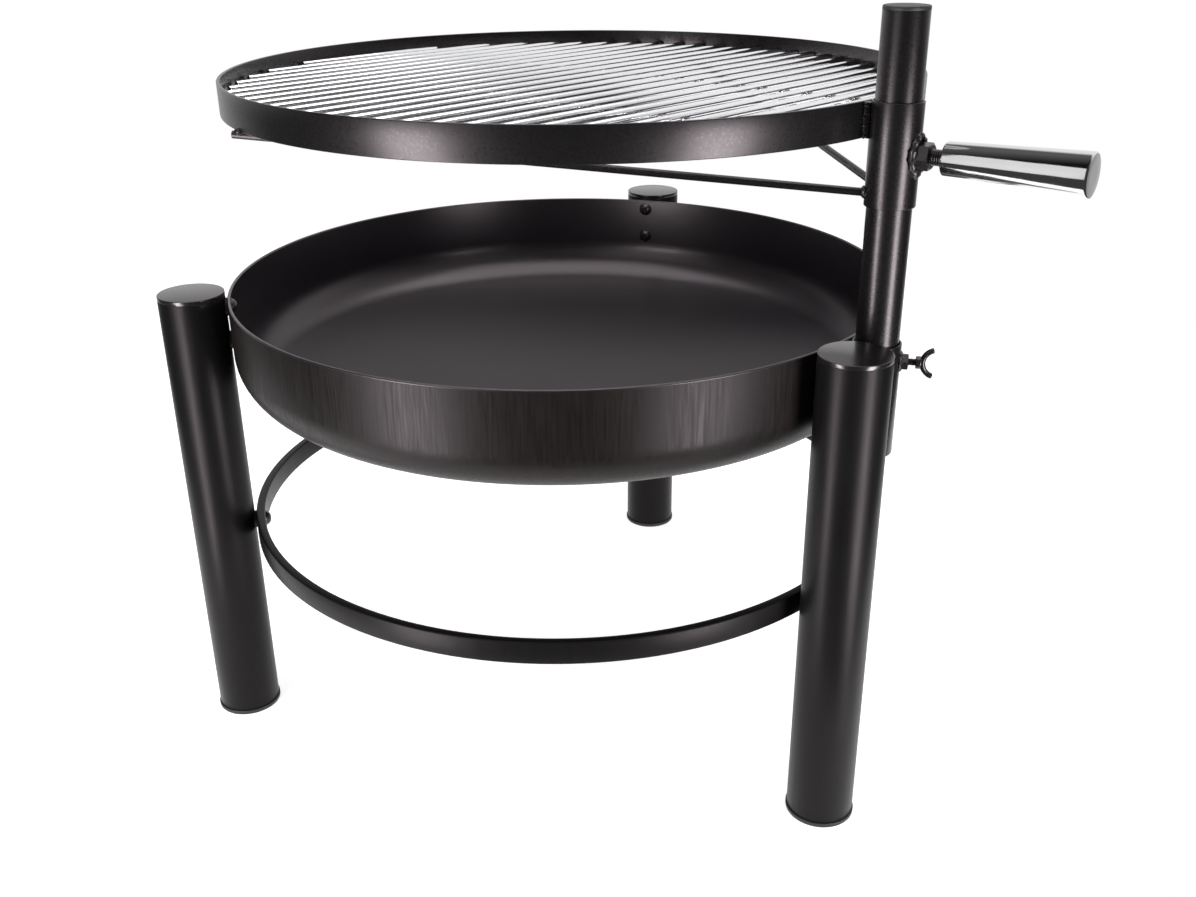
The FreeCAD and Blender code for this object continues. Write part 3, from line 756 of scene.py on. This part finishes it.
# %% [markdown]
# ## Nuts, and the welds round them
# The two nuts have the right shape as solids and stay. The welder ran a bead round each of them, which the
# photo shows as a rough dark collar at the clamp nut, longer above and below than at the sides. A low ring is
# turned for each, and its points are swelled by a wave, one crest for each puddle of the weld, and drawn out
# upwards and downwards by the same amount.

# %% Weld collars at the nuts
puddle_swell = 0.18
uneven_swell = 0.10
uneven_waves = 5
collar_sink = 0.0006


def weld_collar(name, radius, thickness, puddles):
    """Low ring in the XY plane with one swelling for each puddle."""
    piece = turned(name, arc(radius, 0, thickness, 0, 330, 11), puddles * 3)
    for vertex in piece.data.vertices:
        angle = math.atan2(vertex.co.y, vertex.co.x)
        middle = Vector((radius * math.cos(angle), radius * math.sin(angle), 0))
        swell = 1 + puddle_swell * math.cos(angle * puddles) + uneven_swell * math.sin(angle * uneven_waves)
        vertex.co = middle + (vertex.co - middle) * swell
    return piece


for name, start, way, body, radius, thickness, puddles, tall in (
        ("clamp_nut_weld", clamp_start, clamp_way, "grill", 0.0098, 0.0026, 15, 1.34),
        ("socket_nut_weld", wing_start, wing_way, "base", 0.0064, 0.0016, 13, 1.05)):
    collar = weld_collar(name, radius, thickness, puddles)
    stand(collar, start + way * (sleeve_radius - collar_sink), way)
    for vertex in collar.data.vertices:
        vertex.co.z = start.z + (vertex.co.z - start.z) * tall
    dress(collar, weld_paint, "frame_paint", body)

# %% [markdown]
# The two rods of the V are welded at both ends: to the sleeve, where they nearly meet, and under the hoop. A
# lump of weld is a sphere flattened and roughened in edit mode. It is modelled once and copied to the four
# places.

# %% Lumps of weld at the support rods
lump_radius = 0.0048
lump_flatness = 0.6
lump_roughness = 0.0004
clear_selection()
bpy.ops.mesh.primitive_uv_sphere_add(segments=14, ring_count=9, radius=lump_radius)
lump = bpy.context.object
bpy.ops.object.mode_set(mode="EDIT")
bpy.ops.mesh.select_all(action="SELECT")
bpy.ops.transform.resize(value=(1.0, 1.0, lump_flatness))
bpy.ops.mesh.subdivide(number_cuts=1, smoothness=0)
bpy.ops.transform.vertex_random(offset=lump_roughness, uniform=0.4, normal=0.6, seed=4)
bpy.ops.object.mode_set(mode="OBJECT")

rod_angle = math.radians(36)
foot_rise = 0.0032
under_drop = 0.0008
lumps = []
for node, side in (("support_rod_left", 1), ("support_rod_right", -1)):
    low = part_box(node)[0]
    way = Matrix.Rotation(side * rod_angle, 3, "Z") @ arm
    to_hoop = hoop_axis - post_axis
    along = to_hoop.dot(way)
    run = along + math.sqrt((hoop_radius - hoop_wall / 2) ** 2 - (to_hoop.length_squared - along ** 2))
    at_sleeve = post_axis + way * sleeve_radius + UP * (low.z + foot_rise)
    at_hoop = post_axis + way * run + UP * (hoop_bottom - under_drop)
    for place, facing in ((at_sleeve, way), (at_hoop, UP)):
        copy = lump.copy()
        copy.data = lump.data.copy()
        bpy.context.collection.objects.link(copy)
        lumps.append(stand(copy, place, facing))
bpy.data.objects.remove(lump)
dress(joined("support_rod_welds", lumps), weld_paint, "frame_paint", "grill", angle=60)

# %% [markdown]
# ## Pieces that stay as solids
# Bolts, spacers, inserts, nuts, rods, ledges and the socket floor are right as they are. Each still gets a
# finish with its own grain. The inserts and the floor are never seen, but a part may be taken apart.

# %% Finishes of the solids that stay
def zinc_plate(name):
    """Zinc plating with its faint cloudy crystals."""
    finish, tree, shader = new_finish(name)
    shader.inputs["Metallic"].default_value = 1
    where = shader_node(tree, "ShaderNodeTexCoord", {}).outputs["Object"]
    crystals = shader_node(tree, "ShaderNodeTexVoronoi", {"Vector": where, "Scale": 700})
    tone = shader_node(tree, "ShaderNodeMix", {"Factor": crystals.outputs["Distance"]}, data_type="RGBA")
    tone.inputs[6].default_value = (0.52, 0.52, 0.50, 1)
    tone.inputs[7].default_value = (0.66, 0.66, 0.63, 1)
    tree.links.new(tone.outputs[2], shader.inputs["Base Color"])
    sheen = shader_node(tree, "ShaderNodeMapRange",
                        {"Value": crystals.outputs["Distance"], "To Min": 0.28, "To Max": 0.42})
    tree.links.new(sheen.outputs["Result"], shader.inputs["Roughness"])
    return finish


zinc = zinc_plate("zinc_plate")
spacer_paint = satin_paint("spacer_paint", (0.005, 0.005, 0.005), (0.010, 0.010, 0.010),
                           gloss=0.3, smooth=0.46, rough=0.60,
                           peel=0.20, streak=0.20, streak_length=1)
kept_finishes = {
    "bowl_bolts": black_oxide, "ring_bolts": black_oxide, "socket_nut": black_oxide, "clamp_nut": black_oxide,
    "bowl_spacers": spacer_paint, "ring_spacers": spacer_paint, "bowl_inserts": zinc, "ring_inserts": zinc,
    "socket_floor": tube_paint, "support_rod_left": tube_paint, "support_rod_right": tube_paint,
    "grate_ledges": tube_paint}
for node, finish in kept_finishes.items():
    solid = frame["nodes"][node]
    solid.data.materials.clear()
    solid.data.materials.append(finish)
print("solids that stay", len(kept_finishes))

# %% [markdown]
# ## Studio floor
# The photo is a studio shot on white, without an edge between floor and background. A large plane would also
# lie in front of the object, where the chrome bars would mirror it and turn all white. So the floor is a disc
# that ends a little in front of the object. A part of its white is given to the eye and to mirrors only, so
# it stays white and still takes a shadow.

# %% Floor
floor_radius = 1.2
floor_place = (0, 0.72, 0)
floor_glow = 0.68
clear_selection()
bpy.ops.mesh.primitive_circle_add(vertices=128, radius=floor_radius, fill_type="NGON", location=floor_place)
floor = bpy.context.object
floor.name = "studio_floor"
pale, tree, shader = new_finish("pale_floor")
where = shader_node(tree, "ShaderNodeTexCoord", {}).outputs["Object"]
mottle = shader_node(tree, "ShaderNodeTexNoise", {"Vector": where, "Scale": 3, "Detail": 2})
tone = shader_node(tree, "ShaderNodeMix", {"Factor": mottle.outputs["Fac"]}, data_type="RGBA")
tone.inputs[6].default_value = (0.80, 0.80, 0.80, 1)
tone.inputs[7].default_value = (0.82, 0.82, 0.82, 1)
tree.links.new(tone.outputs[2], shader.inputs["Base Color"])
shader.inputs["Roughness"].default_value = 0.9
shader.inputs["Specular IOR Level"].default_value = 0.1
rays = shader_node(tree, "ShaderNodeLightPath", {})
to_eye = shader_node(tree, "ShaderNodeMath", {0: rays.outputs["Is Camera Ray"],
                                              1: rays.outputs["Is Transmission Ray"]}, operation="MAXIMUM")
glow = shader_node(tree, "ShaderNodeMath",
                   {0: to_eye.outputs["Value"], 1: rays.outputs["Is Glossy Ray"]}, operation="MAXIMUM")
share = shader_node(tree, "ShaderNodeMath", {0: glow.outputs["Value"], 1: floor_glow}, operation="MULTIPLY")
shader.inputs["Emission Color"].default_value = (1, 1, 1, 1)
tree.links.new(share.outputs["Value"], shader.inputs["Emission Strength"])
floor.data.materials.append(pale)
print("floor", floor.dimensions.x, "m wide")

# %% [markdown]
# ## What the object mirrors
# A black or chromed object is mostly what it reflects. One even white world would make it look milky, so the
# world has three answers, chosen by Light Path. The eye sees plain white. Dull surfaces get a weak fill. For
# mirrors it is a room that is white at the back and dark in front of the object, with a ceiling that darkens
# to the left, so that the chrome bars don't turn all white.

# %% World
mirror_dark = 0.05
ceiling_dark = 0.12
ceiling_lean = -0.6
dull_fill = 0.35
world = bpy.data.worlds.new("white_studio")
world.use_nodes = True
tree = world.node_tree
rays = shader_node(tree, "ShaderNodeLightPath", {})
aim = shader_node(tree, "ShaderNodeTexCoord", {}).outputs["Generated"]
parts = shader_node(tree, "ShaderNodeSeparateXYZ", {"Vector": aim})
wide_above = shader_node(tree, "ShaderNodeMapRange", {"Value": parts.outputs["Z"], "From Min": -0.1,
                                                      "From Max": 0.1, "To Min": 0.0, "To Max": 0.7})
backward = shader_node(tree, "ShaderNodeMath", {0: parts.outputs["Y"], 1: wide_above.outputs["Result"]},
                       operation="ADD")
ahead = shader_node(tree, "ShaderNodeMapRange", {"Value": backward.outputs["Value"], "From Min": 0.35,
                                                 "From Max": 0.95, "To Min": mirror_dark, "To Max": 1.0})
overhead = shader_node(tree, "ShaderNodeMath",
                       {0: parts.outputs["X"], 1: ceiling_lean, 2: parts.outputs["Z"]},
                       operation="MULTIPLY_ADD")
ceiling = shader_node(tree, "ShaderNodeMapRange", {"Value": overhead.outputs["Value"], "From Min": 0.62,
                                                   "From Max": 0.85, "To Min": 1.0, "To Max": ceiling_dark})
room = shader_node(tree, "ShaderNodeMath", {0: ahead.outputs["Result"], 1: ceiling.outputs["Result"]},
                   operation="MULTIPLY")
white = tree.nodes["Background"]
white.inputs["Color"].default_value = (1, 1, 1, 1)
mirrored = shader_node(tree, "ShaderNodeBackground",
                       {"Color": (1, 1, 1, 1), "Strength": room.outputs["Value"]})
fill = shader_node(tree, "ShaderNodeBackground", {"Color": (1, 1, 1, 1), "Strength": dull_fill})
shiny = shader_node(tree, "ShaderNodeMath", {0: rays.outputs["Is Glossy Ray"],
                                             1: rays.outputs["Is Transmission Ray"]}, operation="MAXIMUM")
unseen = shader_node(tree, "ShaderNodeMixShader", {0: shiny.outputs["Value"], 1: fill.outputs["Background"],
                                                   2: mirrored.outputs["Background"]})
sky = shader_node(tree, "ShaderNodeMixShader", {0: rays.outputs["Is Camera Ray"], 1: unseen.outputs["Shader"],
                                                2: white.outputs["Background"]})
tree.links.new(sky.outputs["Shader"], tree.nodes["World Output"].inputs["Surface"])
bpy.context.scene.world = world
print("world", world.name)

# %% [markdown]
# ## Soft boxes
# Two tall soft boxes left and right of the camera draw the two upright bands of light on every tube, and a
# wide one above lights the plates and the bowl's floor. Their shape matters more than their power, because it
# is what shows in the gloss. On the chromed grip they would be blinding, so light linking keeps these three
# off it, and a weak white card gives the grip its one broad band.

# %% Soft boxes
def soft_box(name, place, target, width, height, watts):
    """Rectangular lamp at a place, facing a target."""
    lamp = bpy.data.lights.new(name, "AREA")
    lamp.shape = "RECTANGLE"
    lamp.size = width
    lamp.size_y = height
    lamp.energy = watts
    holder = bpy.data.objects.new(name, lamp)
    bpy.context.collection.objects.link(holder)
    turn = (target - place).to_track_quat("-Z", "Y")
    holder.matrix_world = Matrix.Translation(place) @ turn.to_matrix().to_4x4()
    return holder


kept_dark = bpy.data.collections.new("kept_dark")
kept_dark.objects.link(grip)
kept_dark.collection_objects[0].light_linking.link_state = "EXCLUDE"
side_target = Vector((0, 0, 0.09))
top_target = Vector((0, 0.05, 0.4))
for name, place, target, width, height, watts in (
        ("left_box", Vector((-0.77, -0.82, 0.09)), side_target, 0.32, 0.98, 15),
        ("right_box", Vector((0.82, -1.02, 0.09)), side_target, 0.36, 0.98, 19),
        ("top_box", Vector((0, 0.05, 2.1)), top_target, 1.9, 1.7, 32)):
    box = soft_box(name, place, target, width, height, watts)
    box.light_linking.receiver_collection = kept_dark
card_place = Vector((-0.78, -0.98, 0.88))
card_target = Vector((0.33, -0.3, 0.565))
soft_box("grip_card", card_place, card_target, width=0.75, height=1.3, watts=2.8)
print("three soft boxes and a white card for the grip")

# %% [markdown]
# ## Camera
# The camera stands where the photo was taken from: a little above the grill, looking down by about a quarter
# of a right angle. Place, tilt and focal length were solved from the edges of bowl, legs, ring, hoop and
# post.

# %% Camera and last lines
lens = bpy.data.cameras.new("photo_camera")
lens.sensor_width = 36
lens.lens = 37.172
camera = bpy.data.objects.new("photo_camera", lens)
bpy.context.collection.objects.link(camera)
from_bowl = Vector((0.00582, -1.10995, 0.74027))
look_down = 0.4237
look_right = 0.0231
lean = -0.0086
camera.matrix_world = (
    Matrix.Translation(bowl_axis + from_bowl)
    @ Matrix.Rotation(-look_right, 4, "Z") @ Matrix.Rotation(math.pi / 2 - look_down, 4, "X")
    @ Matrix.Rotation(lean, 4, "Z"))
bpy.context.scene.camera = camera
bpy.context.scene.view_settings.view_transform = "Standard"
